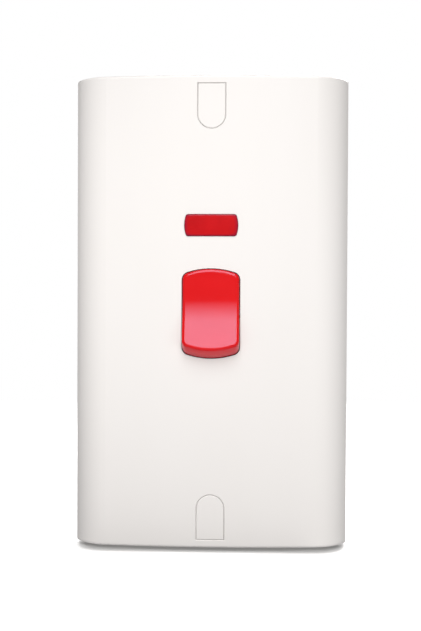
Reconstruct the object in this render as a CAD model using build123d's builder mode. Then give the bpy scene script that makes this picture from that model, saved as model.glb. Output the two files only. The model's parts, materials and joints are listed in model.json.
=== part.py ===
from build123d import *
import os
from math import cos, hypot, radians, sin, sqrt

# Double pole wall switch, in millimetres. The wall is the plane y = 0, the face looks along -Y
# and +Z is up. Heights are measured out of the wall, so a negative height lies inside the wall box.

os.makedirs("parts", exist_ok=True)

# Front plate
plate_width = 86.0
plate_height = 147.0
plate_depth = 10.0  # wall to the middle of the face
plate_wall = 2.4
crown_drop = 1.7  # fall of the face from its middle to where the sides roll over
roll_width = 10.0  # band at each side where the face rolls back to the wall
edge_land = 1.8  # straight edge that stands on the wall
corner_radius = 1.0
corner_ease = 0.03  # lets the corner rounds run out across the sides instead of flush with them
end_round = 0.8
rib_thickness = 1.4
rib_foot = 4.0  # height of the ribs' free edges
rib_across_z = 45.0
rib_upright_x = 27.0

# Fixing screws, and the pockets and caps over them
fixing_inset = 13.2  # plate's end to a fixing screw
fixing_radius = 1.75
fixing_neck_radius = 1.5
fixing_length = 25.0  # under the head
fixing_head_radius = 3.2
fixing_head_height = 2.0
fixing_hole_clearance = 0.25
fixing_seat = 4.6  # height of the pocket's floor
fixing_boss_wall = 1.8
pocket_floor = 2.2
pocket_wall = 1.8
cap_width = 8.6
cap_length = 13.9
cap_margin = 2.6  # plate's end to the cap's straight edge
cap_skin = 1.5
cap_gap = 0.07
cap_break = 0.22  # edges of the cap and its pocket are broken by this much
cap_leg_thickness = 1.0
cap_leg_width = 4.0
cap_leg_clearance = 0.3
slot_width = 0.9
slot_depth = 0.9
head_taper = 15.0  # degrees that a screw head's side leans in

# Neon window
lens_width = 16.7
lens_height = 6.78
lens_end_radius = 9.0
lens_corner = 0.8
lens_edge = 0.5
lens_proud = 0.4
lens_z = 27.0
lens_gap = 0.08
lens_skin = 1.4
lens_flange_ear = 4.2
lens_flange_rim = 1.4
lens_flange_thickness = 1.2
lens_seat_wall = 2.8  # plate left in front of the flange
stake_radius = 0.8
stake_clearance = 0.05
stake_head = 0.8  # how far a stake stands through the flange
lamp_radius = 2.5
lamp_length = 13.0
lamp_taper = 1.2  # length of the glass's tapered ends
lamp_gap = 0.5  # lamp to the lens flange
lead_radius = 0.3
lead_sides = 8
lead_bend = 1.2
lead_reach = 3.0  # lamp's end to where its leads turn back
resistor_radius = 1.25
resistor_length = 5.5
resistor_bevel = 0.4

# Rocker
rocker_width = 17.85
rocker_length = 27.65  # at the plate's face
rocker_z = -0.4
rocker_gap = 0.2
rocker_end_bow = 1.7
rocker_corner = 2.2
rocker_throw = 8.5  # degrees each way from the middle
rocker_proud = 0.6  # how far the pressed half stands out of the plate
rocker_crease_radius = 28.0
rocker_edge = 1.0
rocker_wall = 1.6
rocker_skirt = 2.0  # how far the skirt reaches behind the pivot
pivot_depth = 6.0  # plate's face to the pivot
trunnion_radius = 1.5
trunnion_length = 2.3
trunnion_clearance = 0.05
trunnion_end_gap = 0.3
keeper_width = 1.6  # plate lug that closes a trunnion's slot
cheek_gap = 0.45  # rocker's side to the cheek that carries its trunnion
cheek_length = 9.0
cheek_lip = 2.4  # cheek above the pivot

# Plungers in the rocker
pole_offset = 4.8
plunger_radius = 1.5
plunger_clearance = 0.05
plunger_reach = 10.0  # pivot to the middle of the rounded tip
plunger_length = 7.5  # head to the middle of the rounded tip
barrel_wall = 0.9
barrel_reach = 5.0  # pivot to the barrel's mouth
spring_length = 5.6
spring_radius = 1.15
spring_wire_radius = 0.22
spring_wire_sides = 6
spring_coils = 4

# Contacts
lever_throw = 10.0  # degrees each way from the middle
lever_thickness = 1.6
lever_width = 5.0
lever_arm = 10.8
lever_round = 1.2
bead_radius = 0.8
bead_clearance = 0.05
track_floor = 0.6  # metal between the bead's axis and the plunger's track
track_clearance = 0.25
contact_arm = 8.6  # fulcrum to the middle of the tip
tip_radius = 2.0
tip_thickness = 0.9
closed_gap = 0.2
bar_thickness = 1.2
bar_width = 5.0
bar_gap = 0.5  # feed bar to the lever at its full swing
bar_flange = 8.0
bar_lip = 0.6  # fixed bar past the tip
fulcrum_width = 2.4

# Terminals
terminal_width = 11.0
terminal_length = 14.0
terminal_cover = 1.3  # metal in front of the bore
terminal_thread = 3.8  # metal behind the bore, where the screws are tapped
terminal_bore_radius = 3.2
terminal_gap = 0.2
terminal_edge = 0.6
bore_lead = 1.8  # bore's axis behind the fulcrum
terminal_reach = 19.0  # plate's middle to a terminal's inner end
clamp_screw_radius = 2.4
clamp_screw_length = 8.2
clamp_screw_pitch = 6.6
clamp_screw_clearance = 0.05
clamp_screw_lift = 0.2  # screw's tip behind the bore

# Mechanism base
base_wall = 2.2
base_floor = 2.4
base_rim = 1.0
base_corner = 2.0
base_bevel = 0.8
partition_width = 2.4
partition_clearance = 2.0
cable_clearance = 0.8
collar_wall = 1.4
collar_height = 1.6
collar_clearance = 0.5
lug_radius = 3.6
lug_thickness = 2.5
lug_z = 24.0
post_radius = 3.2
base_screw_radius = 1.45
base_screw_length = 7.2
base_screw_head_radius = 2.8
base_screw_head_height = 1.8
base_screw_clearance = 0.05
base_screw_spare = 0.4  # hole past the screw's tip
base_lug_clearance = 0.25
saddle_length = 6.0
saddle_foot = 3.0  # saddle below the base's rim
saddle_wall = 1.1
saddle_clearance = 0.05

# Places worked out from the sizes
half_width = plate_width / 2
half_height = plate_height / 2
crown_half = half_width - roll_width
shoulder = plate_depth - crown_drop
fixing_centres = plate_height - 2 * fixing_inset
cap_round = cap_width / 2
cap_end_z = half_height - cap_margin
cap_round_z = cap_end_z - cap_length + cap_round

pivot = plate_depth - pivot_depth
throw = radians(rocker_throw)
rocker_half = rocker_width / 2
rocker_radius = hypot(rocker_length / 2, pivot_depth)
crease_out = (pivot_depth + rocker_proud) / cos(throw)
rocker_plane = Plane((0, -pivot, rocker_z), x_dir=(1, 0, 0), z_dir=(0, -cos(throw), sin(throw)))
rocker_side = Plane(rocker_plane.origin, x_dir=rocker_plane.y_dir, z_dir=(1, 0, 0))
rocker_axis = Axis(rocker_plane.origin, (1, 0, 0))
cheek_inner = rocker_half + cheek_gap
trunnion_bore = trunnion_radius + trunnion_clearance
slot_end = rocker_half + trunnion_length + trunnion_end_gap
barrel_bore = plunger_radius + plunger_clearance
barrel_radius = barrel_bore + barrel_wall
plunger_head = plunger_length - plunger_reach
spring_top = plunger_head + spring_length
coil_height = spring_length - 2 * spring_wire_radius

# The plunger's rounded tip runs on a track that follows its path over the see-sawing lever
swing = radians(lever_throw)
tip_lift = track_floor + track_clearance + plunger_radius
fulcrum = pivot - plunger_reach - tip_lift
end_across = plunger_reach * sin(throw)
end_lift = pivot - plunger_reach * cos(throw) - fulcrum
path_end = end_across * cos(swing) - end_lift * sin(swing)
path_rise = end_across * sin(swing) + end_lift * cos(swing) - tip_lift
path_radius = (path_end**2 + path_rise**2) / (2 * path_rise)
track_radius = path_radius + plunger_radius + track_clearance

bore_height = fulcrum - bore_lead
terminal_front = bore_height + terminal_bore_radius + terminal_cover
terminal_back = bore_height - terminal_bore_radius - terminal_thread
clamp_screw_tip = bore_height - terminal_bore_radius - clamp_screw_lift
terminal_depth = terminal_front - terminal_back
terminal_middle = (terminal_front + terminal_back) / 2
terminal_x = partition_width / 2 + terminal_gap + terminal_width / 2
terminal_z = terminal_reach + terminal_length / 2
fixed_front = -2 * tip_thickness - closed_gap  # fixed bar's face behind the closed lever's back
fixed_far = terminal_reach - bar_thickness / 2 - rocker_z - (fixed_front - bar_thickness / 2) * sin(swing)
fixed_run = fixed_far / cos(swing) - contact_arm + tip_radius + bar_lip
feed_front = fulcrum - lever_arm * sin(swing) - bar_gap
feed_run = terminal_reach + rocker_z + fulcrum_width / 2
notch_front = fulcrum - (bead_radius + bead_clearance) / 2
notch_rise = notch_front - feed_front + bar_thickness

support_drop = fulcrum - contact_arm * sin(swing) - terminal_back + base_floor / 2
support_run = support_drop / cos(swing) + fixed_front - bar_thickness
chamber_half = terminal_x + terminal_width / 2 + terminal_gap
chamber_end = terminal_reach + terminal_length + terminal_gap
base_half = chamber_half + base_wall
base_end = chamber_end + base_wall
base_back = terminal_back - base_floor
lug_x = base_half + lug_radius
lug_back = base_rim - lug_thickness
chamber_width = chamber_half - partition_width / 2
partition_top = pivot - rocker_skirt - rocker_radius * sin(throw) - partition_clearance

lens_seat = plate_depth - lens_seat_wall
flange_back = lens_seat - lens_flange_thickness
stake_x = (lens_width + lens_flange_ear) / 2 + stake_radius
lamp_height = flange_back - lamp_gap - lamp_radius
lead_x = lamp_length / 2 + lead_reach

plan_plane = Plane((0, 0, 0), x_dir=(1, 0, 0), z_dir=(0, 0, -1))
poles = {"line": -1, "neutral": 1}
ends = {"upper": 1, "lower": -1}


def face_plane(height):
    """Plane parallel to the wall, seen from the front: X across and Z up."""
    return Plane.XZ.offset(height)


def side_plane(x):
    """Plane seen from the side: Z across and the height out of the wall up."""
    return Plane((x, 0, 0), x_dir=(0, 0, 1), z_dir=(1, 0, 0))


def lever_side(x, turn):
    """Side plane of a moving contact about its fulcrum, with its top turned out by an angle."""
    return Plane((x, -fulcrum, rocker_z), x_dir=(0, -sin(turn), cos(turn)), z_dir=(1, 0, 0))


def plate_section(back, inset):
    """Section across the plate, from its crowned face down to a height, drawn in by an inset."""
    with BuildSketch() as section:
        with BuildLine():
            crown = ThreePointArc((-crown_half, shoulder), (0, plate_depth), (crown_half, shoulder))
            roll = TangentArc(crown @ 1, (half_width, edge_land), tangent=crown % 1)
            mirror(roll, about=Plane.YZ)
            foot = Polyline((half_width, edge_land), (half_width, back), (0, back))
            mirror(foot, about=Plane.YZ)
        make_face()
        if inset:
            offset(amount=-inset)
    return section.sketch


def cap_outline(side, growth):
    """Outline of a screw cap: round towards the middle of the plate and square towards its end."""
    run = cap_end_z - cap_round_z + growth
    with BuildSketch() as outline:
        with Locations((0, side * cap_round_z)):
            Circle(cap_round + growth)
        with Locations((0, side * (cap_round_z + run / 2))):
            Rectangle(2 * (cap_round + growth), run)
    return outline.sketch


def lens_outline(growth):
    """Outline of the neon window: flat above and below, with bowed ends and small round corners."""
    half_high = lens_height / 2
    bow = lens_end_radius - sqrt(lens_end_radius**2 - half_high**2)
    end_x = lens_width / 2
    corner_x = end_x - bow
    with BuildSketch() as outline:
        with BuildLine():
            Line((-corner_x, lens_z + half_high), (corner_x, lens_z + half_high))
            ThreePointArc((corner_x, lens_z + half_high), (end_x, lens_z), (corner_x, lens_z - half_high))
            Line((corner_x, lens_z - half_high), (-corner_x, lens_z - half_high))
            ThreePointArc((-corner_x, lens_z - half_high), (-end_x, lens_z), (-corner_x, lens_z + half_high))
        make_face()
        fillet(outline.vertices(), radius=lens_corner)
        if growth:
            offset(amount=growth)
    return outline.sketch


def rocker_barrel(growth, corner):
    """Solid swept by the rocker's bowed end as it turns, so that its gap to the plate never changes."""
    half = rocker_half + growth
    reach = rocker_radius + growth
    side_reach = reach - rocker_end_bow
    with BuildPart() as barrel:
        with BuildSketch(rocker_plane) as outline:
            with BuildLine():
                Polyline((half, side_reach), (half, 0), (-half, 0), (-half, side_reach))
                ThreePointArc((-half, side_reach), (0, reach), (half, side_reach))
            make_face()
            fillet(outline.vertices().group_by(Axis.Y)[-1], radius=corner)
        revolve(axis=rocker_axis)
    return barrel.part


def rocker_profile(inset):
    """Side view of the rocker: a shallow valley in front, its two halves met by a soft crease."""
    far = rocker_radius
    out = crease_out - inset / cos(throw)
    edge_out = out + far * sin(throw) / cos(throw)
    with BuildSketch() as profile:
        with BuildLine():
            Polyline((-far, edge_out), (0, out), (far, edge_out))
            Polyline((far, edge_out), (far, -rocker_skirt), (-far, -rocker_skirt), (-far, edge_out))
        make_face()
        fillet(profile.vertices().sort_by_distance((0, out))[0], radius=rocker_crease_radius + inset)
    return profile.sketch


# Outer form of the plate, without its openings
with BuildPart() as envelope:
    with BuildSketch(plan_plane):
        add(plate_section(0, 0))
    extrude(amount=half_height, both=True)
    fillet(envelope.faces().filter_by(Axis.Z).edges().filter_by(GeomType.CIRCLE), radius=end_round)
    with BuildSketch(face_plane(0)):
        RectangleRounded(plate_width + 2 * corner_ease, plate_height + 2 * corner_ease, corner_radius)
    extrude(amount=plate_depth, mode=Mode.INTERSECT)

# Hollow behind the face, with what stands in it left out
with BuildPart() as hollow:
    with BuildSketch(plan_plane):
        add(plate_section(-2 * plate_wall, plate_wall))
    extrude(amount=half_height - plate_wall, both=True)
    with BuildSketch(face_plane(0)):
        for side in ends.values():
            add(cap_outline(side, cap_gap + pocket_wall))
    extrude(amount=plate_depth, mode=Mode.SUBTRACT)
    with BuildSketch(face_plane(rib_foot)):
        with GridLocations(0, 2 * rib_across_z, 1, 2):
            Rectangle(plate_width, rib_thickness)
        with GridLocations(2 * rib_upright_x, 0, 2, 1):
            Rectangle(rib_thickness, plate_height)
    extrude(amount=plate_depth, mode=Mode.SUBTRACT)
    with BuildSketch(face_plane(base_rim)):
        with GridLocations(2 * lug_x, 2 * lug_z, 2, 2):
            Circle(post_radius)
    extrude(amount=plate_depth, mode=Mode.SUBTRACT)
    with BuildSketch(face_plane(lens_seat)):
        with Locations((0, lens_z)):
            Rectangle(lens_width + 2 * lens_flange_ear, lens_height + 2 * lens_flange_rim)
    extrude(amount=plate_depth, mode=Mode.SUBTRACT)
    with BuildSketch(face_plane(flange_back - stake_head)):
        with Locations((-stake_x, lens_z), (stake_x, lens_z)):
            Circle(stake_radius)
    extrude(amount=plate_depth, mode=Mode.SUBTRACT)
    with BuildSketch(face_plane(pivot + trunnion_bore)):
        with Locations((0, rocker_z)):
            with GridLocations(cheek_inner + slot_end, 0, 2, 1):
                Rectangle(keeper_width, 2 * trunnion_radius)
    extrude(amount=plate_depth, mode=Mode.SUBTRACT)

with BuildPart() as front_plate:
    add(envelope.part)
    add(hollow.part, mode=Mode.SUBTRACT)
    add(rocker_barrel(rocker_gap, rocker_corner + rocker_gap), mode=Mode.SUBTRACT)
    with BuildSketch(face_plane(lens_seat)):
        add(lens_outline(lens_gap))
    extrude(amount=plate_depth, mode=Mode.SUBTRACT)
    with BuildSketch(face_plane(fixing_seat)):
        for side in ends.values():
            add(cap_outline(side, cap_gap))
    extrude(amount=plate_depth, mode=Mode.SUBTRACT)
    rims = front_plate.faces().sort_by(SortBy.AREA)[-1].inner_wires().sort_by(Axis.Z)
    chamfer(rims[0].edges() + rims[-1].edges(), length=cap_break)
    with BuildSketch(face_plane(0)):
        for side in ends.values():
            add(cap_outline(side, cap_gap))
        with GridLocations(0, fixing_centres, 1, 2):
            Circle(fixing_radius + fixing_hole_clearance + fixing_boss_wall, mode=Mode.SUBTRACT)
    extrude(amount=fixing_seat - pocket_floor, mode=Mode.SUBTRACT)
    with BuildSketch(face_plane(0)):
        with GridLocations(0, fixing_centres, 1, 2):
            Circle(fixing_radius + fixing_hole_clearance)
    extrude(amount=fixing_seat, mode=Mode.SUBTRACT)
    with BuildSketch(face_plane(base_rim)):
        with GridLocations(2 * lug_x, 2 * lug_z, 2, 2):
            Circle(base_screw_radius + base_screw_clearance)
    extrude(amount=base_screw_length - lug_thickness + base_screw_spare, mode=Mode.SUBTRACT)
front_plate.part.label = "front_plate"
export_step(front_plate.part, "parts/front_plate.step")

# Screw caps: a skin in line with the crowned face, and two legs that grip the pocket
for name, side in ends.items():
    with BuildPart() as screw_cap:
        with BuildSketch(face_plane(plate_depth - cap_skin)):
            add(cap_outline(side, 0))
        extrude(amount=cap_skin)
        with BuildSketch(face_plane(fixing_seat + cap_leg_clearance)):
            with Locations((0, side * (cap_round_z + cap_leg_width / 2))):
                with GridLocations(cap_width - cap_leg_thickness, 0, 2, 1):
                    Rectangle(cap_leg_thickness, cap_leg_width)
        extrude(amount=plate_depth - cap_skin - fixing_seat - cap_leg_clearance)
        add(envelope.part, mode=Mode.INTERSECT)
        chamfer(screw_cap.faces().sort_by(Axis.Y)[0].edges(), length=cap_break)
    screw_cap.part.label = f"{name}_screw_cap"
    export_step(screw_cap.part, f"parts/{name}_screw_cap.step")

# Fixing screws, with a thin neck through the plate
with BuildPart() as fixing_screws:
    with BuildSketch(face_plane(fixing_seat)):
        with GridLocations(0, fixing_centres, 1, 2):
            Circle(fixing_head_radius)
    extrude(amount=fixing_head_height, taper=head_taper)
    with BuildSketch(face_plane(0)):
        with GridLocations(0, fixing_centres, 1, 2):
            Circle(fixing_neck_radius)
    extrude(amount=fixing_seat)
    with BuildSketch(face_plane(0)):
        with GridLocations(0, fixing_centres, 1, 2):
            Circle(fixing_radius)
    extrude(amount=-(fixing_length - fixing_seat))
    with BuildSketch(face_plane(fixing_seat + fixing_head_height)):
        with GridLocations(0, fixing_centres, 1, 2):
            Rectangle(2 * fixing_head_radius, slot_width)
    extrude(amount=-slot_depth, mode=Mode.SUBTRACT)
fixing_screws.part.label = "fixing_screws"
export_step(fixing_screws.part, "parts/fixing_screws.step")

# Neon window, a cup with an eared flange that is staked behind the plate
with BuildPart() as neon_lens:
    with BuildSketch(face_plane(lens_seat)):
        add(lens_outline(0))
    extrude(amount=plate_depth + lens_proud - lens_seat)
    fillet(neon_lens.faces().sort_by(Axis.Y)[0].edges(), radius=lens_edge)
    with BuildSketch(face_plane(flange_back)):
        with Locations((0, lens_z)):
            Rectangle(lens_width + 2 * lens_flange_ear, lens_height + 2 * lens_flange_rim)
    extrude(amount=lens_flange_thickness)
    with BuildSketch(face_plane(flange_back)):
        add(lens_outline(-lens_skin))
    extrude(amount=plate_depth + lens_proud - lens_skin - flange_back, mode=Mode.SUBTRACT)
    with BuildSketch(face_plane(flange_back)):
        with Locations((-stake_x, lens_z), (stake_x, lens_z)):
            Circle(stake_radius + stake_clearance)
    extrude(amount=lens_flange_thickness, mode=Mode.SUBTRACT)
neon_lens.part.label = "neon_lens"
export_step(neon_lens.part, "parts/neon_lens.step")

# Neon lamp, a glass tube with tapered ends, lying across the plate behind the window
with BuildPart() as neon_lamp:
    with BuildSketch(Plane((-lamp_length / 2, -lamp_height, lens_z), z_dir=(1, 0, 0))):
        Circle(lamp_radius)
    extrude(amount=lamp_length)
    chamfer(neon_lamp.edges().filter_by(GeomType.CIRCLE), length=lamp_taper)
neon_lamp.part.label = "neon_lamp"
export_step(neon_lamp.part, "parts/neon_lamp.step")

# The resistor stands on the neutral terminal, and each lead runs out from the lamp and turns back
resistor_foot = terminal_front + (lamp_height - terminal_front - resistor_length) / 2
lead_feet = {"line": terminal_front, "neutral": resistor_foot + resistor_length}
for name, side in poles.items():
    with BuildPart() as neon_lead:
        with BuildLine():
            route = FilletPolyline(
                (side * lamp_length / 2, -lamp_height, lens_z),
                (side * lead_x, -lamp_height, lens_z),
                (side * lead_x, -lead_feet[name], lens_z),
                radius=lead_bend,
            )
        with BuildSketch(Plane(route @ 0, z_dir=route % 0)):
            RegularPolygon(lead_radius, lead_sides)
        sweep()
    neon_lead.part.label = f"neon_lead_{name}"
    export_step(neon_lead.part, f"parts/neon_lead_{name}.step")

with BuildPart() as neon_resistor:
    with BuildSketch(face_plane(resistor_foot)):
        with Locations((lead_x, lens_z)):
            Circle(resistor_radius)
    extrude(amount=resistor_length)
    chamfer(neon_resistor.edges().filter_by(GeomType.CIRCLE), length=resistor_bevel)
    with BuildSketch(face_plane(terminal_front)):
        with Locations((lead_x, lens_z)):
            Circle(lead_radius)
    extrude(amount=resistor_foot - terminal_front)
neon_resistor.part.label = "neon_resistor"
export_step(neon_resistor.part, "parts/neon_resistor.step")

# Rocker, at rest with its top pressed in and its lower half standing out
with BuildPart() as rocker_hollow:
    with BuildSketch(rocker_side):
        Circle(rocker_radius - rocker_end_bow - rocker_wall)
        add(rocker_profile(rocker_wall), mode=Mode.INTERSECT)
    extrude(amount=rocker_half - rocker_wall, both=True)

with BuildPart() as rocker:
    add(rocker_barrel(0, rocker_corner))
    with BuildSketch(rocker_side):
        add(rocker_profile(0))
    extrude(amount=rocker_half, both=True, mode=Mode.INTERSECT)
    face = rocker.faces().sort_by(Axis(rocker_plane.origin, rocker_plane.z_dir))[-3:]
    fillet(face.edges().filter_by(Axis.X, reverse=True), radius=rocker_edge)
    add(rocker_hollow.part, mode=Mode.SUBTRACT)
    with BuildSketch(rocker_plane.offset(-barrel_reach)):
        with GridLocations(2 * pole_offset, 0, 2, 1):
            Circle(barrel_radius)
    extrude(amount=barrel_reach + crease_out - rocker_wall / 2)
    with BuildSketch(rocker_plane.offset(-barrel_reach)):
        with GridLocations(2 * pole_offset, 0, 2, 1):
            Circle(barrel_bore)
    extrude(amount=barrel_reach + spring_top, mode=Mode.SUBTRACT)
    for side in poles.values():
        with BuildSketch(rocker_side.offset(side * (rocker_half - rocker_wall / 2))):
            Circle(trunnion_radius)
        extrude(amount=side * (rocker_wall / 2 + trunnion_length))
rocker.part.label = "rocker"
export_step(rocker.part, "parts/rocker.step")

# Plungers and their springs, one to each pole
for name, side in poles.items():
    with BuildPart() as plunger:
        with BuildSketch(rocker_plane.offset(-plunger_reach)):
            with Locations((side * pole_offset, 0)):
                Circle(plunger_radius)
        extrude(amount=plunger_length)
        with Locations(rocker_plane.from_local_coords((side * pole_offset, 0, -plunger_reach))):
            Sphere(plunger_radius)
    plunger.part.label = f"plunger_{name}"
    export_step(plunger.part, f"parts/plunger_{name}.step")

    coil_foot = (side * pole_offset, 0, plunger_head + spring_wire_radius)
    with BuildPart() as plunger_spring:
        with BuildLine():
            coil = Helix(
                pitch=coil_height / spring_coils,
                height=coil_height,
                radius=spring_radius,
                center=rocker_plane.from_local_coords(coil_foot),
                direction=rocker_plane.z_dir,
            )
        with BuildSketch(Plane(coil @ 0, z_dir=coil % 0)):
            RegularPolygon(spring_wire_radius, spring_wire_sides)
        sweep(is_frenet=True)
    plunger_spring.part.label = f"plunger_spring_{name}"
    export_step(plunger_spring.part, f"parts/plunger_spring_{name}.step")

# Contacts: a see-saw bar with a bead on its back and a track for the plunger, silver tips, and fixed bars
for name, side in poles.items():
    pole_x = side * pole_offset
    open_side = lever_side(pole_x, swing)
    closed_side = lever_side(pole_x, -swing)
    open_back = Plane(open_side.from_local_coords((contact_arm, 0)), x_dir=(1, 0, 0), z_dir=-open_side.y_dir)
    closed_front = Plane(
        closed_side.from_local_coords((contact_arm, fixed_front)), x_dir=(1, 0, 0), z_dir=closed_side.y_dir
    )

    with BuildPart() as moving_contact:
        with BuildSketch(open_side):
            with Locations((0, lever_thickness / 2)):
                Rectangle(2 * lever_arm, lever_thickness)
            Circle(bead_radius)
            with Locations((0, tip_lift + path_radius)):
                Circle(track_radius, mode=Mode.SUBTRACT)
        extrude(amount=lever_width / 2, both=True)
        lever_ends = moving_contact.edges().filter_by(Axis((0, 0, 0), open_side.y_dir)).group_by(Axis.Z)
        fillet(lever_ends[0] + lever_ends[-1], radius=lever_round)
    moving_contact.part.label = f"moving_contact_{name}"
    export_step(moving_contact.part, f"parts/moving_contact_{name}.step")

    with BuildPart() as moving_tip:
        with BuildSketch(open_back):
            Circle(tip_radius)
        extrude(amount=tip_thickness)
    moving_tip.part.label = f"moving_tip_{name}"
    export_step(moving_tip.part, f"parts/moving_tip_{name}.step")

    with BuildPart() as fixed_tip:
        with BuildSketch(closed_front):
            Circle(tip_radius)
        extrude(amount=tip_thickness)
    fixed_tip.part.label = f"fixed_tip_{name}"
    export_step(fixed_tip.part, f"parts/fixed_tip_{name}.step")

    with BuildPart() as fixed_contact:
        with BuildSketch(closed_side):
            with Locations((contact_arm - tip_radius - bar_lip, fixed_front - bar_thickness / 2)):
                Rectangle(fixed_run, bar_thickness, align=(Align.MIN, Align.CENTER))
        extrude(amount=bar_width / 2, both=True)
        with BuildSketch(plan_plane.offset(-terminal_reach)):
            with Locations((pole_x, terminal_middle)):
                Rectangle(bar_width, bar_flange)
        extrude(amount=bar_thickness)
    fixed_contact.part.label = f"fixed_contact_{name}"
    export_step(fixed_contact.part, f"parts/fixed_contact_{name}.step")

    with BuildPart() as feed_bar:
        with BuildSketch(side_plane(pole_x)):
            with Locations((-terminal_reach, feed_front)):
                Rectangle(feed_run, bar_thickness, align=(Align.MIN, Align.MAX))
            with Locations((rocker_z, notch_front)):
                Rectangle(fulcrum_width, notch_rise, align=(Align.CENTER, Align.MAX))
            with Locations((-terminal_reach, terminal_middle)):
                Rectangle(bar_thickness, bar_flange, align=(Align.MIN, Align.CENTER))
            with Locations((rocker_z, fulcrum)):
                Circle(bead_radius + bead_clearance, mode=Mode.SUBTRACT)
        extrude(amount=bar_width / 2, both=True)
    feed_bar.part.label = f"feed_bar_{name}"
    export_step(feed_bar.part, f"parts/feed_bar_{name}.step")

# Tunnel terminals, supply below and load above, each with two screws tapped in from the back
for name, side in poles.items():
    for way, up in {"in": -1, "out": 1}.items():
        with BuildPart() as terminal:
            with BuildSketch(plan_plane.offset(-up * terminal_reach)):
                with Locations((side * terminal_x, terminal_middle)):
                    RectangleRounded(terminal_width, terminal_depth, terminal_edge)
                with Locations((side * terminal_x, bore_height)):
                    Circle(terminal_bore_radius, mode=Mode.SUBTRACT)
            extrude(amount=-up * terminal_length)
            with BuildSketch(face_plane(terminal_back)):
                with Locations((side * terminal_x, up * terminal_z)):
                    with GridLocations(0, clamp_screw_pitch, 1, 2):
                        Circle(clamp_screw_radius + clamp_screw_clearance)
            extrude(amount=bore_height - terminal_back, mode=Mode.SUBTRACT)
        terminal.part.label = f"terminal_{name}_{way}"
        export_step(terminal.part, f"parts/terminal_{name}_{way}.step")

with BuildPart() as terminal_screws:
    with BuildSketch(face_plane(clamp_screw_tip)):
        with Locations((0, terminal_z), (0, -terminal_z)):
            with GridLocations(2 * terminal_x, clamp_screw_pitch, 2, 2):
                Circle(clamp_screw_radius)
    extrude(amount=-clamp_screw_length)
    with BuildSketch(face_plane(clamp_screw_tip - clamp_screw_length)):
        with Locations((0, terminal_z), (0, -terminal_z)):
            with GridLocations(2 * terminal_x, clamp_screw_pitch, 2, 2):
                Rectangle(2 * clamp_screw_radius, slot_width)
    extrude(amount=slot_depth, mode=Mode.SUBTRACT)
terminal_screws.part.label = "terminal_screws"
export_step(terminal_screws.part, "parts/terminal_screws.step")

# Mechanism base: two chambers side by side, cheeks for the rocker, and collars round the terminal screws
with BuildPart() as mechanism_base:
    with BuildSketch(face_plane(base_back)):
        RectangleRounded(2 * base_half, 2 * base_end, base_corner)
    extrude(amount=base_rim - base_back)
    chamfer(mechanism_base.faces().sort_by(Axis.Y)[-1].edges(), length=base_bevel)
    with BuildSketch(face_plane(lug_back)):
        with GridLocations(0, 2 * lug_z, 1, 2):
            SlotOverall(2 * (lug_x + lug_radius), 2 * lug_radius)
    extrude(amount=lug_thickness)
    with BuildSketch(face_plane(terminal_back)):
        with GridLocations(partition_width + chamber_width, 0, 2, 1):
            Rectangle(chamber_width, 2 * chamber_end)
        with Locations((0, rocker_z)):
            with GridLocations(cheek_inner + chamber_half, 0, 2, 1):
                Rectangle(chamber_half - cheek_inner, cheek_length, mode=Mode.SUBTRACT)
    extrude(amount=base_rim - terminal_back, mode=Mode.SUBTRACT)
    with BuildSketch(face_plane(base_rim)):
        with Locations((0, rocker_z)):
            with GridLocations(cheek_inner + base_half, 0, 2, 1):
                Rectangle(base_half - cheek_inner, cheek_length)
    extrude(amount=pivot + cheek_lip - base_rim)
    with BuildSketch(face_plane(partition_top)):
        with Locations((0, rocker_z)):
            Rectangle(partition_width, 2 * (rocker_radius + partition_clearance))
    extrude(amount=base_rim - partition_top, mode=Mode.SUBTRACT)
    for side in poles.values():
        with BuildSketch(side_plane(side * cheek_inner)):
            with Locations((rocker_z, pivot)):
                Circle(trunnion_bore)
                Rectangle(2 * trunnion_bore, cheek_lip, align=(Align.CENTER, Align.MIN))
        extrude(amount=side * (slot_end - cheek_inner), mode=Mode.SUBTRACT)
        with BuildSketch(face_plane(terminal_back)):
            with Locations((side * (partition_width / 2 + cheek_inner) / 2, rocker_z)):
                Rectangle(cheek_inner - partition_width / 2, fulcrum_width)
        extrude(amount=feed_front - bar_thickness - terminal_back)
        with BuildSketch(lever_side(side * pole_offset, -swing)):
            with Locations((contact_arm, fixed_front - bar_thickness)):
                Rectangle(tip_radius, support_run, align=(Align.CENTER, Align.MAX))
        extrude(amount=bar_width / 2, both=True)
    with BuildSketch(face_plane(base_rim - saddle_foot)):
        with Locations((0, lens_z)):
            Rectangle(saddle_length, 2 * (lamp_radius + saddle_wall))
    extrude(amount=lamp_height - base_rim + saddle_foot)
    with BuildSketch(side_plane(0)):
        with Locations((lens_z, lamp_height)):
            Circle(lamp_radius + saddle_clearance)
    extrude(amount=saddle_length / 2, both=True, mode=Mode.SUBTRACT)
    with BuildSketch(face_plane(base_back)):
        with Locations((0, terminal_z), (0, -terminal_z)):
            with GridLocations(2 * terminal_x, clamp_screw_pitch, 2, 2):
                Circle(clamp_screw_radius + collar_clearance + collar_wall)
    extrude(amount=-collar_height)
    with BuildSketch(face_plane(base_back - collar_height)):
        with Locations((0, terminal_z), (0, -terminal_z)):
            with GridLocations(2 * terminal_x, clamp_screw_pitch, 2, 2):
                Circle(clamp_screw_radius + collar_clearance)
    extrude(amount=collar_height + base_floor, mode=Mode.SUBTRACT)
    for up in ends.values():
        with BuildSketch(plan_plane.offset(-up * base_end)):
            with Locations((-terminal_x, bore_height), (terminal_x, bore_height)):
                Circle(terminal_bore_radius + cable_clearance)
        extrude(amount=up * base_wall, mode=Mode.SUBTRACT)
    with BuildSketch(face_plane(lug_back)):
        with GridLocations(2 * lug_x, 2 * lug_z, 2, 2):
            Circle(base_screw_radius + base_lug_clearance)
    extrude(amount=lug_thickness, mode=Mode.SUBTRACT)
mechanism_base.part.label = "mechanism_base"
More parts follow.
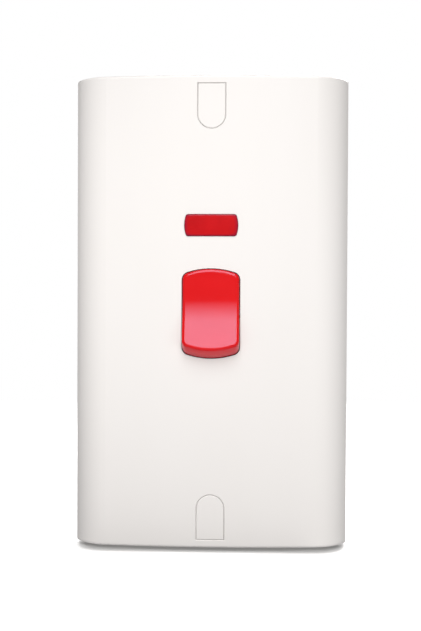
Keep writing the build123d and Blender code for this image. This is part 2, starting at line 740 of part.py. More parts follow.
export_step(mechanism_base.part, "parts/mechanism_base.step")

# Self-tapping screws that hold the base to the plate's posts
with BuildPart() as base_screws:
    with BuildSketch(face_plane(lug_back)):
        with GridLocations(2 * lug_x, 2 * lug_z, 2, 2):
            Circle(base_screw_radius)
    extrude(amount=base_screw_length)
    with BuildSketch(face_plane(lug_back)):
        with GridLocations(2 * lug_x, 2 * lug_z, 2, 2):
            Circle(base_screw_head_radius)
    extrude(amount=-base_screw_head_height, taper=head_taper)
    with BuildSketch(face_plane(lug_back - base_screw_head_height)):
        with GridLocations(2 * lug_x, 2 * lug_z, 2, 2):
            Rectangle(2 * base_screw_head_radius, slot_width)
    extrude(amount=slot_depth, mode=Mode.SUBTRACT)
base_screws.part.label = "base_screws"
export_step(base_screws.part, "parts/base_screws.step")
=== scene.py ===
import json
import math

import bpy
import numpy as np
from mathutils import Matrix, Vector


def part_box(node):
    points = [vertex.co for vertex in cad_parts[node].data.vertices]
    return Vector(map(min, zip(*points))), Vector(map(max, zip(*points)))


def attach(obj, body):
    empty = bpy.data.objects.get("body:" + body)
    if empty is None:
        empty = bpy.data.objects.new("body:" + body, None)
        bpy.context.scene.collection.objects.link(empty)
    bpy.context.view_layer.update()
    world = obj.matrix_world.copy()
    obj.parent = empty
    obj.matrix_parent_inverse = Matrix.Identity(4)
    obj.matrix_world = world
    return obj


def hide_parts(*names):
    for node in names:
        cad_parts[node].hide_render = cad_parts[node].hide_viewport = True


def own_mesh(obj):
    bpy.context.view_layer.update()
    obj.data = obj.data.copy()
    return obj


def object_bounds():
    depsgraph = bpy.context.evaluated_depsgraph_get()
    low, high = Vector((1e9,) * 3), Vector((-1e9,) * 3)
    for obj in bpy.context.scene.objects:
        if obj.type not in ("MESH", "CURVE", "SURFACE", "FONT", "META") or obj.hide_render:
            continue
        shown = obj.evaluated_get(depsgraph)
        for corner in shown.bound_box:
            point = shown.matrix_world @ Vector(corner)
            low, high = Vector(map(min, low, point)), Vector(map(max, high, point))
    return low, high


# Dressed double pole switch. Metres, the same frame as the solids:
# the wall is y = 0, the face looks along -Y and +Z is up.
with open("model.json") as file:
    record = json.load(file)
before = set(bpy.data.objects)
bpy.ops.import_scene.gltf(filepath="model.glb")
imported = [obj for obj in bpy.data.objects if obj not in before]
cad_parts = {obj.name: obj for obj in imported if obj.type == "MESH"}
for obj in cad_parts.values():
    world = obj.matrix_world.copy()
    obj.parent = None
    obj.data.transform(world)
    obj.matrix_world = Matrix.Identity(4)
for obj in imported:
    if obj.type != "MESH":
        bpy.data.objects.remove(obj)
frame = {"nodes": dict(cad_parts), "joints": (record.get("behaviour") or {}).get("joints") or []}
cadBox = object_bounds()
nodes = frame["nodes"]
joints = {joint["name"]: joint for joint in frame["joints"]}
scene = bpy.context.scene
print("frame: %d nodes" % len(nodes))


# shader building blocks
noiseSpan = (0.3, 0.7)  # nearly all values of a soft noise lie in it
gapShadeSamples = 24


def newFinish(name):
    finish = bpy.data.materials.new(name)
    finish.use_nodes = True
    return finish, finish.node_tree, finish.node_tree.nodes["Principled BSDF"]


def placeOn(tree, stretch=(1.0, 1.0, 1.0), shift=(0.0, 0.0, 0.0)):
    # object coordinates, each axis multiplied by its stretch and then shifted
    coords = tree.nodes.new("ShaderNodeTexCoord")
    mapping = tree.nodes.new("ShaderNodeMapping")
    mapping.inputs["Scale"].default_value = stretch
    mapping.inputs["Location"].default_value = shift
    tree.links.new(coords.outputs["Object"], mapping.inputs["Vector"])
    return mapping.outputs["Vector"]


def cloud(tree, place, perMetre, detail=3.0):
    # soft noise with about perMetre blotches to the metre
    noise = tree.nodes.new("ShaderNodeTexNoise")
    noise.inputs["Scale"].default_value = perMetre
    noise.inputs["Detail"].default_value = detail
    tree.links.new(place, noise.inputs["Vector"])
    return noise.outputs["Fac"]


def carry(tree, field, fromRange, toRange):
    # the field's fromRange carried in a straight line to toRange, and held there
    ranger = tree.nodes.new("ShaderNodeMapRange")
    ranger.inputs["From Min"].default_value, ranger.inputs["From Max"].default_value = fromRange
    ranger.inputs["To Min"].default_value, ranger.inputs["To Max"].default_value = toRange
    tree.links.new(field, ranger.inputs["Value"])
    return ranger.outputs["Result"]


def shades(tree, field, first, second):
    # colour that goes from first to second as the field goes over the noise's span
    ramp = tree.nodes.new("ShaderNodeValToRGB")
    for stop, place, colour in zip(ramp.color_ramp.elements, noiseSpan, (first, second)):
        stop.position = place
        stop.color = (*colour, 1.0)
    tree.links.new(field, ramp.inputs["Fac"])
    return ramp.outputs["Color"]


def relief(tree, shader, field, depth, strength):
    # bump from the field, depth in metres
    bump = tree.nodes.new("ShaderNodeBump")
    bump.inputs["Distance"].default_value = depth
    bump.inputs["Strength"].default_value = strength
    tree.links.new(field, bump.inputs["Height"])
    tree.links.new(bump.outputs["Normal"], shader.inputs["Normal"])


def outside(tree, half, rise, axes=(0, 1), middle=(0.0, 0.0, 0.0)):
    # how far out a point lies along two axes: each coordinate from the middle, over its half and
    # raised to its own power, and the two added, which makes 1 on the outline
    stretch = [0.0, 0.0, 0.0]
    for axis, size in zip(axes, half):
        stretch[axis] = 1.0 / size
    shift = [-at * times for at, times in zip(middle, stretch)]
    apart = tree.nodes.new("ShaderNodeSeparateXYZ")
    tree.links.new(placeOn(tree, stretch, shift), apart.inputs[0])
    total = tree.nodes.new("ShaderNodeMath")  # adds, as it is made
    for k, (axis, power) in enumerate(zip(axes, rise)):
        length, raised = (tree.nodes.new("ShaderNodeMath") for _ in range(2))
        length.operation, raised.operation = "ABSOLUTE", "POWER"
        raised.inputs[1].default_value = power
        tree.links.new(apart.outputs[axis], length.inputs[0])
        tree.links.new(length.outputs[0], raised.inputs[0])
        tree.links.new(raised.outputs[0], total.inputs[k])
    return total.outputs[0]


def mixed(tree, share, shade, colour):
    # the fixed shade where the share is 0, the colour where it is 1
    mix = tree.nodes.new("ShaderNodeMix")
    mix.data_type = "RGBA"
    first, second = (socket for socket in mix.inputs if socket.type == "RGBA")
    first.default_value = (*shade, 1.0)
    tree.links.new(colour, second)
    tree.links.new(share, mix.inputs[0])
    return next(socket for socket in mix.outputs if socket.type == "RGBA")


def paintedGapShade(tree, colour, gapShade):
    # painted shade: darker where another surface stands within reach, the shade that falls in the
    # gap between two mouldings, found by ambient occlusion
    shadeOcclusion = tree.nodes.new("ShaderNodeAmbientOcclusion")
    shadeOcclusion.samples = gapShadeSamples
    shadeOcclusion.inputs["Distance"].default_value = gapShade["reach"]
    share = carry(tree, shadeOcclusion.outputs["AO"], gapShade["open"], (0.0, 1.0))
    return mixed(tree, share, gapShade["shade"], colour)


def moulded(name, look):
    # moulded plastic: faint flow marks in the colour, uneven gloss and a fine skin, and painted
    # shade in gaps where the look asks for it
    finish, tree, shader = newFinish(name)
    place = placeOn(tree)
    flow = cloud(tree, placeOn(tree, look["flowStretch"]), look["flowPerMetre"])
    colour = shades(tree, flow, *look["shades"])
    # painted shade: the colour darkened where other surfaces stand close
    if "gapShade" in look:
        colour = paintedGapShade(tree, colour, look["gapShade"])
    tree.links.new(colour, shader.inputs["Base Color"])
    gloss = cloud(tree, place, look["glossPerMetre"])
    tree.links.new(carry(tree, gloss, noiseSpan, look["roughness"]), shader.inputs["Roughness"])
    skin = cloud(tree, place, look["skinPerMetre"], detail=2.0)
    relief(tree, shader, skin, look["skinDepth"], look["skinStrength"])
    shader.inputs["IOR"].default_value = look["ior"]
    shader.inputs["Specular Tint"].default_value = (*look.get("gleam", (1.0, 1.0, 1.0)), 1.0)
    return finish


def metal(name, look):
    # worked metal: tarnish in patches, and fine marks drawn out along one axis
    finish, tree, shader = newFinish(name)
    tarnish = cloud(tree, placeOn(tree), look["tarnishPerMetre"], detail=4.0)
    tree.links.new(shades(tree, tarnish, *look["shades"]), shader.inputs["Base Color"])
    marks = cloud(tree, placeOn(tree, look["markStretch"]), look["marksPerMetre"], detail=2.0)
    tree.links.new(carry(tree, marks, noiseSpan, look["roughness"]), shader.inputs["Roughness"])
    relief(tree, shader, marks, look["markDepth"], look["markStrength"])
    shader.inputs["Metallic"].default_value = 1.0
    return finish


def dress(finish, *names):
    for name in names:
        for place in nodes[name].material_slots:
            place.material = finish


# white gloss moulding of the plate and its two caps, with painted shade in the narrow gaps round
# the caps and openings
plateLook = {
    "shades": ((0.925, 0.895, 0.868), (0.940, 0.912, 0.888)),
    # painted shade in the gaps: reach, colour and the occlusion span over which it fades out
    "gapShade": {"reach": 0.0006, "shade": (0.70, 0.68, 0.655), "open": (0.40, 0.95)},
    "flowStretch": (1.0, 1.0, 0.35),
    "flowPerMetre": 38.0,
    "roughness": (0.30, 0.36),
    "glossPerMetre": 520.0,
    "skinPerMetre": 2600.0,
    "skinDepth": 0.00004,
    "skinStrength": 0.05,
    "ior": 1.5,
}
plateWhite = moulded("plateWhite", plateLook)
dress(plateWhite, "front_plate", "upper_screw_cap", "lower_screw_cap")

# red gloss moulding of the rocker, with painted shade turning it wine-red where it stands close to
# the plate
rockerLook = {
    "shades": ((0.77, 0.0075, 0.0075), (0.82, 0.0095, 0.0095)),
    # painted shade on the rocker's sides and edges near the plate: reach, colour and occlusion span
    "gapShade": {"reach": 0.0030, "shade": (0.16, 0.006, 0.022), "open": (0.45, 0.98)},
    "flowStretch": (0.5, 1.0, 1.0),
    "flowPerMetre": 90.0,
    "roughness": (0.10, 0.14),
    "glossPerMetre": 700.0,
    "skinPerMetre": 2200.0,
    "skinDepth": 0.00003,
    "skinStrength": 0.06,
    "ior": 1.56,
    "gleam": (0.30, 0.74, 1.0),
}
rockerRed = moulded("rockerRed", rockerLook)
dress(rockerRed, "rocker")

# clear red window: deep colour, with painted shade darkening its rim towards the edge
lensLook = {
    "shades": ((0.58, 0.009, 0.012), (0.70, 0.012, 0.015)),
    "window": (0.00835, 0.00339), "middle": (0.0, 0.0, 0.027), "rise": (8.0, 6.0),
    "rim": {"shade": (0.30, 0.014, 0.045), "from": (0.25, 1.0)},
    "depthPerMetre": 160.0,
    "ribsPerMetre": 1250.0,
    "ribStretch": (1.0, 0.05, 0.05),
    "ribDepth": 0.00002,
    "ribStrength": 0.25,
    "roughness": (0.06, 0.10),
    "glossPerMetre": 900.0,
    "ior": 1.45,
    "gleam": (0.30, 0.32, 0.38),
    "transmission": 0.06,
}


def clearRed(look):
    # faint upright ribs on a see-through moulding, with cloudy depth and a rim darkened by painted
    # shade
    finish, tree, shader = newFinish("clearRed")
    depth = cloud(tree, placeOn(tree), look["depthPerMetre"])
    # painted shade: how far out a point lies on the window, darkening the colour towards its rim
    reach = outside(tree, look["window"], look["rise"], (0, 2), look["middle"])
    share = carry(tree, reach, look["rim"]["from"], (1.0, 0.0))
    colour = mixed(tree, share, look["rim"]["shade"], shades(tree, depth, *look["shades"]))
    tree.links.new(colour, shader.inputs["Base Color"])
    gloss = cloud(tree, placeOn(tree), look["glossPerMetre"])
    tree.links.new(carry(tree, gloss, noiseSpan, look["roughness"]), shader.inputs["Roughness"])
    ribs = cloud(tree, placeOn(tree, look["ribStretch"]), look["ribsPerMetre"], detail=1.0)
    relief(tree, shader, ribs, look["ribDepth"], look["ribStrength"])
    shader.inputs["IOR"].default_value = look["ior"]
    shader.inputs["Specular Tint"].default_value = (*look["gleam"], 1.0)
    shader.inputs["Transmission Weight"].default_value = look["transmission"]
    return finish


dress(clearRed(lensLook), "neon_lens")

# satin white moulding of the mechanism base, and natural nylon of the plungers
baseLook = {
    "shades": ((0.80, 0.785, 0.745), (0.86, 0.85, 0.815)),
    "flowStretch": (1.0, 1.0, 0.4),
    "flowPerMetre": 70.0,
    "roughness": (0.42, 0.55),
    "glossPerMetre": 800.0,
    "skinPerMetre": 3200.0,
    "skinDepth": 0.00006,
    "skinStrength": 0.18,
    "ior": 1.5,
}
dress(moulded("baseSatin", baseLook), "mechanism_base")
nylonLook = dict(baseLook, shades=((0.80, 0.76, 0.64), (0.86, 0.83, 0.73)), roughness=(0.38, 0.5))
dress(moulded("plungerNylon", nylonLook), "plunger_line", "plunger_neutral")

# metals of the working parts
brassLook = {
    "shades": ((0.60, 0.40, 0.14), (0.78, 0.57, 0.25)),
    "tarnishPerMetre": 260.0,
    "markStretch": (1.0, 1.0, 0.06),
    "marksPerMetre": 5200.0,
    "roughness": (0.22, 0.4),
    "markDepth": 0.00002,
    "markStrength": 0.12,
}
copperLook = dict(brassLook, shades=((0.66, 0.30, 0.17), (0.82, 0.44, 0.29)))
silverLook = dict(brassLook, shades=((0.70, 0.69, 0.66), (0.86, 0.85, 0.83)), roughness=(0.18, 0.3))
zincLook = dict(
    brassLook, shades=((0.52, 0.53, 0.54), (0.70, 0.71, 0.71)), markStretch=(1.0, 0.08, 1.0),
)
wireLook = dict(zincLook, shades=((0.42, 0.42, 0.43), (0.60, 0.60, 0.60)))
terminalBrass = metal("terminalBrass", brassLook)
screwZinc = metal("screwZinc", zincLook)
contactCopper = metal("contactCopper", copperLook)
contactSilver = metal("contactSilver", silverLook)
springWire = metal("springWire", wireLook)
for pole in ("line", "neutral"):
    dress(terminalBrass, "terminal_%s_in" % pole, "terminal_%s_out" % pole)
    dress(contactCopper, "moving_contact_" + pole, "fixed_contact_" + pole, "feed_bar_" + pole)
    dress(contactSilver, "moving_tip_" + pole, "fixed_tip_" + pole)
    dress(springWire, "neon_lead_" + pole)

# lamp glass and the lacquer on the resistor
lampLook = {
    "tint": (0.95, 0.86, 0.80), "transmission": 0.9,
    "cloudPerMetre": 300.0, "roughness": (0.03, 0.12),
}
lampGlass, lampTree, lampShader = newFinish("lampGlass")
lampShader.inputs["Base Color"].default_value = (*lampLook["tint"], 1.0)
lampShader.inputs["Transmission Weight"].default_value = lampLook["transmission"]
lampHaze = cloud(lampTree, placeOn(lampTree), lampLook["cloudPerMetre"])
lampGloss = carry(lampTree, lampHaze, noiseSpan, lampLook["roughness"])
lampTree.links.new(lampGloss, lampShader.inputs["Roughness"])
dress(lampGlass, "neon_lamp")
lacquerLook = dict(baseLook, shades=((0.42, 0.27, 0.14), (0.52, 0.36, 0.20)), roughness=(0.3, 0.42))
dress(moulded("resistorLacquer", lacquerLook), "neon_resistor")
print("finishes: %d" % len(bpy.data.materials))


# pieces with a surface of their own

def faceOutwards(mesh):
    # signed volume of the closed surface: turned round if the faces look inwards
    points = np.empty(len(mesh.vertices) * 3)
    mesh.vertices.foreach_get("co", points)
    points = points.reshape(-1, 3)
    mesh.calc_loop_triangles()
    corners = np.empty(len(mesh.loop_triangles) * 3, np.int32)
    mesh.loop_triangles.foreach_get("vertices", corners)
    a, b, c = (points[corners.reshape(-1, 3)[:, k]] for k in range(3))
    inwards = float((a * np.cross(b, c)).sum()) < 0
    if inwards:
        mesh.flip_normals()
    mesh.polygons.foreach_set("use_smooth", np.ones(len(mesh.polygons), bool))
    mesh.update()
    return inwards


def shapedPiece(name, points, faces, look):
    # a closed mesh of these points and faces, smooth up to the crease's angle
    mesh = bpy.data.meshes.new(name)
    mesh.from_pydata(points, [], faces)
    flip = faceOutwards(mesh)
    mesh.set_sharp_from_angle(angle=math.radians(look["crease"]))
    mesh.materials.append(look["finish"])
    piece = bpy.data.objects.new(name, mesh)
    scene.collection.objects.link(piece)
    return piece, flip


def slottedScrew(look, middle, headY, turn):
    # Head: rows across the slot, each row's x spread to the circle's chord at that row,
    # and the rows inside the slot sunk by its depth. Below it, rings of the profile's radius:
    # on the thread the radius is the core plus the depth times a ridge wave of
    # (run along the screw / pitch - angle / full turn).
    way = look["faces"]
    half = look["slotWidth"] / 2
    top = look["profile"][0][0]
    wing = np.linspace(half * look["slotMargin"], top * look["edgeShare"], look["rowsAside"])
    rows = np.concatenate([-wing[::-1], [-half, 0.0, half], wing])
    sunk = np.abs(rows) < wing[0]
    across = np.linspace(-1.0, 1.0, look["rowsAside"] + 2)
    chord = np.sqrt(top**2 - rows**2)
    gridX = across[None, :] * chord[:, None]
    gridY = np.repeat(rows[:, None], len(across), 1)
    dome = look["dome"] * (1.0 - (gridX**2 + gridY**2) / top**2)
    gridS = np.where(sunk[:, None], look["slotDepth"], -dome)
    rowCount, colCount = gridX.shape
    index = np.arange(rowCount * colCount).reshape(rowCount, colCount)
    corners = [index[:-1, :-1], index[:-1, 1:], index[1:, 1:], index[1:, :-1]]
    quads = [np.stack(corners, -1).reshape(-1, 4)]
    rim = np.concatenate([index[:, -1], index[::-1, 0]])
    angle = np.arctan2(gridY.ravel()[rim], gridX.ravel()[rim])
    points = [np.stack([gridX.ravel(), gridY.ravel(), gridS.ravel()], -1)]
    # rings of the profile, and the thread's rings between its two ends
    ringR, ringS = [], []
    for radius, run in look["profile"][1:]:
        ringR.append(np.full(len(angle), radius))
        ringS.append(run)
    start, stop = look["thread"]
    steps = int(round((stop - start) / look["pitch"] * look["rowsPerTurn"]))
    runs = np.linspace(start, stop, steps + 1)
    wave = (runs[:, None] / look["pitch"] - angle[None, :] / (2 * math.pi)) % 1.0
    crest, fall = look["ridge"]
    ridge = np.clip(crest - fall * np.abs(wave - 0.5), 0.0, 1.0)
    ease = np.clip(np.minimum(runs - start, stop - runs) / look["pitch"], 0.0, 1.0)[:, None]
    threadR = look["core"] + (look["radius"] - look["core"]) * ridge * ease
    tipR = np.full((1, len(angle)), look["core"] * look["tipShare"])
    allR = np.concatenate([np.array(ringR), threadR, tipR])
    allS = np.concatenate([np.array(ringS), runs, [look["tip"]]])
    ringX, ringY = allR * np.cos(angle), allR * np.sin(angle)
    rings = np.stack([ringX, ringY, np.repeat(allS[:, None], len(angle), 1)], -1)
    points.append(rings.reshape(-1, 3))
    base = rowCount * colCount
    ringIndex = base + np.arange(allR.size).reshape(allR.shape)
    loops = np.concatenate([rim[None, :], ringIndex])
    nextOne = np.roll(loops, -1, 1)
    quads.append(np.stack([loops[:-1], loops[1:], nextOne[1:], nextOne[:-1]], -1).reshape(-1, 4))
    points.append(np.array([[0.0, 0.0, look["tip"]]]))
    tipIndex = base + allR.size
    fan = np.stack([loops[-1], np.full(len(angle), tipIndex), nextOne[-1]], -1)
    flat = np.concatenate(points)
    # turn the slot, then stand the screw along Y with its head facing the given way
    c, s = math.cos(turn), math.sin(turn)
    x, z = c * flat[:, 0] - s * flat[:, 1], s * flat[:, 0] + c * flat[:, 1]
    placed = np.stack([middle[0] + x, headY - way * flat[:, 2], middle[1] + z], -1)
    return placed, np.concatenate(quads), fan


def screwSet(name, look, node):
    # one screw for each side, end and row, set in from the corners of the node's box
    # by the head's radius
    low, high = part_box(node)
    headRadius = max(radius for radius, run in look["profile"])
    headY = (low if look["faces"] < 0 else high)[1]
    farX, farZ = high[0] - headRadius, high[2] - headRadius
    spots = [(side * farX, end * (farZ - row * look["rowPitch"]))
             for side in look["sides"] for end in (-1, 1) for row in range(look["rows"])]
    allPoints, faces, count = [], [], 0
    for spot, turn in zip(spots, look["turns"]):
        points, quads, fan = slottedScrew(look, spot, headY, math.radians(turn))
        faces += (quads + count).tolist() + (fan + count).tolist()
        allPoints.append(points)
        count += len(points)
    piece, flip = shapedPiece(name, np.concatenate(allPoints).tolist(), faces, look)
    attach(piece, "housing")
    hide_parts(node)
    faceCount = len(piece.data.polygons)
    print("%s: %d screws, %d faces, flipped %s" % (name, len(spots), faceCount, flip))


# two fixing screws under the caps; a profile is radius and run, and runs are measured from
# the head's face; slotMargin and edgeShare place the head's rows, ridge is the thread's height
# before it is cut off at 1 and its fall to each side
fixingLook = {
    "finish": screwZinc, "slot": "screw_steel",
    "sides": (0,), "rows": 1, "rowPitch": 0.0, "faces": -1.0, "turns": (-58.0, 24.0),
    "slotWidth": 0.0009, "slotDepth": 0.0009, "dome": 0.0, "rowsAside": 9, "crease": 32.0,
    "slotMargin": 1.06, "edgeShare": 0.985, "ridge": (1.5, 3.2), "tipShare": 0.7,
    "profile": [
        (0.00258, 0.0), (0.0032, 0.00185), (0.0031, 0.002), (0.0015, 0.002), (0.0015, 0.0064),
    ],
    "thread": (0.0066, 0.0264), "tip": 0.027,
    "radius": 0.00175, "core": 0.00142, "pitch": 0.0006, "rowsPerTurn": 6,
}
screwSet("fixingScrewPair", fixingLook, "fixing_screws")

# four self-tapping screws that hold the base, heads to the back
baseScrewLook = dict(
    fixingLook, sides=(-1, 1), faces=1.0, turns=(12.0, 71.0, -33.0, 48.0),
    profile=[(0.0023, 0.0), (0.00272, 0.0014), (0.0028, 0.0018), (0.00128, 0.0018)],
    thread=(0.0021, 0.0084), tip=0.009, radius=0.00145, core=0.00105, pitch=0.00105, rowsPerTurn=8,
)
screwSet("baseScrewSet", baseScrewLook, "base_screws")

# eight clamp screws, slotted ends in the collars at the back
clampLook = dict(
    baseScrewLook, finish=terminalBrass, slot="terminal_brass",
    rows=2, rowPitch=0.0066, turns=(5.0, 82.0, -21.0, 37.0, 64.0, -47.0, -72.0, 18.0),
    profile=[(0.0021, 0.0), (0.0024, 0.0003), (0.0024, 0.0011), (0.00205, 0.0013)],
    thread=(0.0014, 0.0078), tip=0.0082, radius=0.0024, core=0.00205, pitch=0.0008, rowsPerTurn=6,
)
screwSet("clampScrewSet", clampLook, "terminal_screws")


# plunger springs with closed ends, shortened by the plungers
springLook = {
    "finish": springWire, "slot": "spring_steel",
    "foot": -0.00248, "length": 0.00556,  # along the plunger, from the rocker's pivot
    "radius": 0.00115, "wire": 0.00022, "turns": 6.0, "closedTurns": 1.0, "closedGap": 0.00002,
    "stepsPerTurn": 40, "wireSides": 12, "crease": 60.0,
}


def coilSpring(name, look, node, slide):
    # The wire's middle line goes round evenly; it climbs by one wire and a gap in each closed
    # end turn, and evenly between them. A ring of the wire's radius stands across the line at
    # each step, and a flat face closes each end.
    steps = int(look["turns"] * look["stepsPerTurn"]) + 1
    turned = np.linspace(0.0, look["turns"], steps)
    closed = look["closedTurns"]
    foot, top = look["wire"], look["length"] - look["wire"]
    climb = closed * (2 * look["wire"] + look["closedGap"])
    changes = [0.0, closed, look["turns"] - closed, look["turns"]]
    height = np.interp(turned, changes, [foot, foot + climb, top - climb, top])
    angle = turned * 2 * math.pi
    outward = np.stack([np.cos(angle), np.sin(angle), np.zeros(steps)], -1)
    line = outward * look["radius"] + np.stack([np.zeros(steps), np.zeros(steps), height], -1)
    along = np.gradient(line, axis=0)
    along /= np.linalg.norm(along, axis=1, keepdims=True)
    upward = np.cross(along, outward)
    around = np.linspace(0.0, 2 * math.pi, look["wireSides"], endpoint=False)
    outShare, upShare = np.cos(around)[None, :, None], np.sin(around)[None, :, None]
    ring = outShare * outward[:, None, :] + upShare * upward[:, None, :]
    local = (line[:, None, :] + look["wire"] * ring).reshape(-1, 3)
    # stand the coil on the plunger's own axis, level with the middle of the CAD spring
    low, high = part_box(node)
    axis = np.array(slide["axis"])
    pivot = np.array(joints["rocker_tilt"]["pos_m"]) + ((low[0] + high[0]) / 2, 0.0, 0.0)
    across = np.array((1.0, 0.0, 0.0))
    placed = pivot + local @ np.stack([across, np.cross(axis, across), axis]) + look["foot"] * axis
    index = np.arange(steps * look["wireSides"]).reshape(steps, look["wireSides"])
    after = np.roll(index, -1, 1)
    quads = np.stack([index[:-1], after[:-1], after[1:], index[1:]], -1).reshape(-1, 4)
    ends = [index[0, ::-1].tolist(), index[-1].tolist()]
    piece, flip = shapedPiece(name, placed.tolist(), quads.tolist() + ends, look)
    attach(piece, "rocker")
    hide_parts(node)
    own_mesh(piece)


for pole in ("line", "neutral"):
    slide = joints["plunger_%s_slide" % pole]
    coilSpring("plungerSpring" + pole.title(), springLook, "plunger_spring_" + pole, slide)


def levelSheet(name, across, front, height, paint):
    # one level rectangle between two x and two y
    (left, right), (near, far) = across, front
    corners = [(left, near), (right, near), (right, far), (left, far)]
    mesh = bpy.data.meshes.new(name)
    mesh.from_pydata([(x, y, height) for x, y in corners], [], [(0, 1, 2, 3)])
    mesh.materials.append(paint)
    sheet = bpy.data.objects.new(name, mesh)
    scene.collection.objects.link(sheet)
    return sheet


# stage: a pale floor just under the plate's lower end, with a painted shadow that darkens its
# colour close to the plate, and a painted glow that lifts it to white further out; it fades out
# over the squared distance from the middle
white = (1.0, 1.0, 1.0, 1.0)
floorLook = {
    "drop": 0.0010, "across": (-0.6, 0.6), "front": (-0.6, 0.6), "fade": (0.04, 0.20),
    "shades": ((0.90, 0.90, 0.895), (0.93, 0.93, 0.925)), "grainPerMetre": 14.0, "roughness": 0.9,
    "outline": (0.0416, 0.0100), "rise": (11.0, 2.0),
    "contact": (0.52, 1.0), "contactFrom": (0.75, 1.45),
    "paintedGlow": (0.0, 0.85), "paintedGlowFrom": (1.15, 2.30),
}
floorHeight = cadBox[0][2] - floorLook["drop"]
floorPaint, floorTree, floorShader = newFinish("floorPaint")
floorGrain = cloud(floorTree, placeOn(floorTree), floorLook["grainPerMetre"])
floorShader.inputs["Roughness"].default_value = floorLook["roughness"]
floorShader.inputs["Specular IOR Level"].default_value = 0.0
floorShader.inputs["Emission Color"].default_value = white
footReach = outside(floorTree, floorLook["outline"], floorLook["rise"])
contact = floorTree.nodes.new("ShaderNodeVectorMath")  # painted shadow: dims the floor's colour close to the plate
contact.operation = "SCALE"
floorTree.links.new(shades(floorTree, floorGrain, *floorLook["shades"]), contact.inputs[0])
paintedShadowShare = carry(floorTree, footReach, floorLook["contactFrom"], floorLook["contact"])
floorTree.links.new(paintedShadowShare, contact.inputs["Scale"])
floorTree.links.new(contact.outputs["Vector"], floorShader.inputs["Base Color"])
# painted light: the floor glows, none close to the plate and full further out
paintedGlow = carry(floorTree, footReach, floorLook["paintedGlowFrom"], floorLook["paintedGlow"])
floorTree.links.new(paintedGlow, floorShader.inputs["Emission Strength"])
squaredReach = outside(floorTree, (1.0, 1.0), (2.0, 2.0))
gone = carry(floorTree, squaredReach, floorLook["fade"], (1.0, 0.0))
floorTree.links.new(gone, floorShader.inputs["Alpha"])
floor = levelSheet("floor", floorLook["across"], floorLook["front"], floorHeight, floorPaint)
floor.visible_diffuse = False
floor.visible_glossy = False
floor.visible_shadow = False

# a dark card in front of the plate's foot, just under the floor and out of the eye's sight,
# keeps the surround's light off the plate's lower end
cardLook = {
    "across": (-0.040, 0.031), "front": (-0.0205, -0.0095), "drop": 0.0005,
    "shade": (0.01, 0.01, 0.01),
}
cardPaint, _, cardShader = newFinish("cardPaint")
cardShader.inputs["Base Color"].default_value = (*cardLook["shade"], 1.0)
cardShader.inputs["Specular IOR Level"].default_value = 0.0
cardHeight = floorHeight - cardLook["drop"]
footCard = levelSheet("footCard", cardLook["across"], cardLook["front"], cardHeight, cardPaint)
footCard.visible_camera = False
footCard.visible_glossy = False
footCard.visible_shadow = False

# studio: white surround for the eye and a dim one for the light, brighter from below; a tall
# soft box in front, two small fills close to the plate, a box behind and a fill from below;
# away in metres, up and aside in degrees
studio = {
    "below": 0.32, "above": 0.0, "blend": (-0.5, 0.5),
    "tint": (0.985, 0.99, 1.0), "boxTint": (1.0, 0.99, 0.985),
}
softBoxes = {
    "frontBox": {
        "size": (0.848, 1.774), "away": 1.40, "up": 37.6, "aside": 2.0,
        "watts": 25.35, "feather": 0.38, "gloss": True,
    },
    "faceFill": {
        "size": (0.213, 0.132), "away": 0.078, "up": 10.0, "aside": -21.6,
        "watts": 0.0303, "feather": 0.01, "gloss": False,
    },
    "sideFill": {
        "size": (0.040, 0.040), "away": 0.219, "up": -11.3, "aside": 47.1,
        "watts": 0.0410, "feather": 0.01, "gloss": False,
    },
    "backBox": {
        "size": (0.50, 0.50), "away": 0.70, "up": 38.0, "aside": 160.0,
        "watts": 5.0, "feather": 0.01, "gloss": True,
    },
    "underFill": {
        "size": (0.30, 0.30), "away": 1.0, "up": -85.0, "aside": 0.0,
        "watts": 1.9, "feather": 0.01, "gloss": False,
    },
}
world = bpy.data.worlds.new("studio")
scene.world = world
world.use_nodes = True
worldTree = world.node_tree
seen = worldTree.nodes["Background"]
seen.inputs["Color"].default_value = white
lit = worldTree.nodes.new("ShaderNodeBackground")
lit.inputs["Color"].default_value = (*studio["tint"], 1.0)
heading = worldTree.nodes.new("ShaderNodeTexCoord")
upward = worldTree.nodes.new("ShaderNodeSeparateXYZ")
worldTree.links.new(heading.outputs["Generated"], upward.inputs["Vector"])
fromBelow = (studio["below"], studio["above"])
bounce = carry(worldTree, upward.outputs["Z"], studio["blend"], fromBelow)
worldTree.links.new(bounce, lit.inputs["Strength"])
rays = worldTree.nodes.new("ShaderNodeLightPath")
chooser = worldTree.nodes.new("ShaderNodeMixShader")
worldTree.links.new(rays.outputs["Is Camera Ray"], chooser.inputs["Fac"])
worldTree.links.new(lit.outputs["Background"], chooser.inputs[1])
worldTree.links.new(seen.outputs["Background"], chooser.inputs[2])
worldTree.links.new(chooser.outputs["Shader"], worldTree.nodes["World Output"].inputs["Surface"])


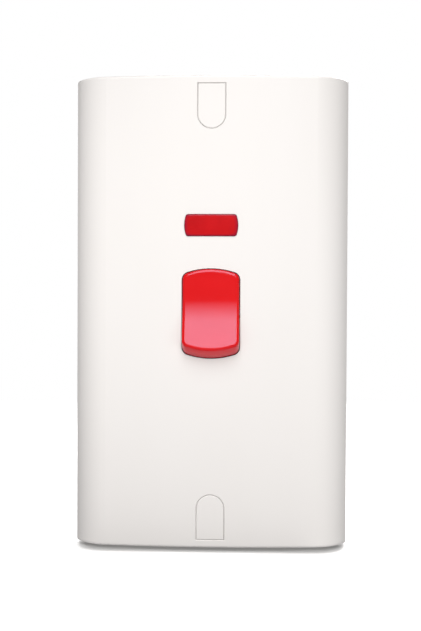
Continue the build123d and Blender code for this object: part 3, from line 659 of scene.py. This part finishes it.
def softBox(name, look):
    # an area light aimed at the middle of the plate from an angle up and an angle to the right,
    # fading out towards its lower edge over the feather's share of its height
    lamp = bpy.data.lights.new(name, "AREA")
    lamp.shape = "RECTANGLE"
    lamp.size, lamp.size_y = look["size"]
    lamp.energy = look["watts"]
    lamp.color = studio["boxTint"]
    lamp.use_nodes = True
    tree = lamp.node_tree
    across = tree.nodes.new("ShaderNodeNewGeometry")
    parts = tree.nodes.new("ShaderNodeSeparateXYZ")
    tree.links.new(across.outputs["Parametric"], parts.inputs["Vector"])
    fade = carry(tree, parts.outputs["Y"], (0.0, look["feather"]), (0.0, 1.0))
    tree.links.new(fade, tree.nodes["Emission"].inputs["Strength"])
    holder = bpy.data.objects.new(name, lamp)
    a, e = math.radians(look["aside"]), math.radians(look["up"])
    back = Vector((math.sin(a) * math.cos(e), -math.cos(a) * math.cos(e), math.sin(e)))
    holder.location = back * look["away"]
    holder.rotation_euler = (-back).to_track_quat("-Z", "Y").to_euler()
    holder.visible_glossy = look["gloss"]
    holder.visible_camera = False
    scene.collection.objects.link(holder)


for name, look in softBoxes.items():
    softBox(name, look)
scene.view_settings.view_transform = "Standard"
print("studio: floor, card, surround and %d soft boxes" % len(softBoxes))

# camera: a near, level view, a little to the right of the middle
eye = {
    "place": (0.00925, -0.300, 0.00371), "pitch": -0.930, "yaw": 1.844, "roll": -0.256,
    "lens": 53.34, "sensor": 36.0, "nearest": 0.01,
}
camera = bpy.data.cameras.new("camera")
camera.sensor_width = eye["sensor"]
camera.lens = eye["lens"]
camera.clip_start = eye["nearest"]
cameraHolder = bpy.data.objects.new("camera", camera)
turnZ = Matrix.Rotation(math.radians(eye["yaw"]), 4, "Z")
turnX = Matrix.Rotation(math.radians(eye["pitch"]), 4, "X")
turnY = Matrix.Rotation(math.radians(eye["roll"]), 4, "Y")
levelView = Matrix.Rotation(math.radians(90.0), 4, "X")
cameraHolder.matrix_world = Matrix.Translation(eye["place"]) @ turnZ @ turnX @ turnY @ levelView
scene.collection.objects.link(cameraHolder)
scene.camera = cameraHolder
